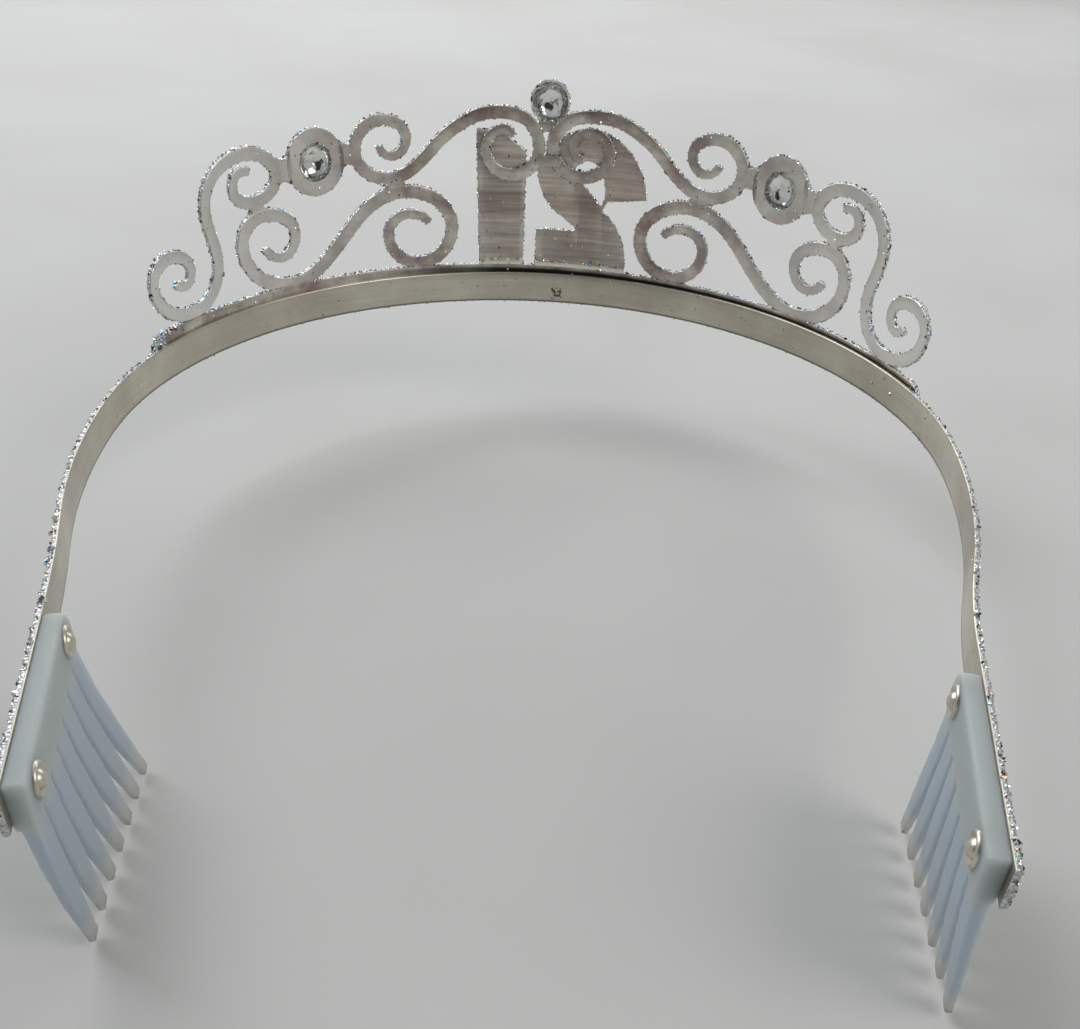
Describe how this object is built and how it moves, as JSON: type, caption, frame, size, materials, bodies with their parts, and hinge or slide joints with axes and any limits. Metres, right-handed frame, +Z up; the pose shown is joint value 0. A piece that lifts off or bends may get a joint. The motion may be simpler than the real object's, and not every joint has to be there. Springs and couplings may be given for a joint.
{
  "type": "number tiara with side combs",
  "caption": "Bent strip head band with a scrolled crest, domed discs, numeral plates and a riveted plastic comb at each end.",
  "frame": {"origin": "centre of the front arc of the head band, at the height of the band's lower edge: the middle of the head opening", "axes": "+Z up the crest, -Y towards the front of the tiara, +Y back along the arms"},
  "size_m": [0.1296, 0.1578, 0.0583],
  "materials": {
    "bare_silver": "satin, lightly tarnished",
    "tarnished_silver": "tarnished back, glitter front",
    "bright_silver": "bright pressed dome",
    "milky_plastic": "translucent",
    "nickel": "domed and polished"
  },
  "bodies": {
    "root": {"headband": "bare_silver", "crest_rail": "tarnished_silver", "outer_scroll_left": "tarnished_silver", "outer_scroll_right": "tarnished_silver", "base_scroll_left": "tarnished_silver", "base_scroll_right": "tarnished_silver", "arch_scroll_left": "tarnished_silver", "arch_scroll_right": "tarnished_silver", "disc_left": "tarnished_silver", "disc_right": "tarnished_silver", "top_dome": "bright_silver", "bridges_left": "tarnished_silver", "bridges_right": "tarnished_silver", "bridges_centre": "tarnished_silver", "numeral_two": "tarnished_silver", "numeral_one": "tarnished_silver", "comb_left": "milky_plastic", "comb_right": "milky_plastic", "front_rivet_left": "nickel", "front_rivet_right": "nickel", "rear_rivet_left": "nickel", "rear_rivet_right": "nickel"}
  },
  "joints": []
}
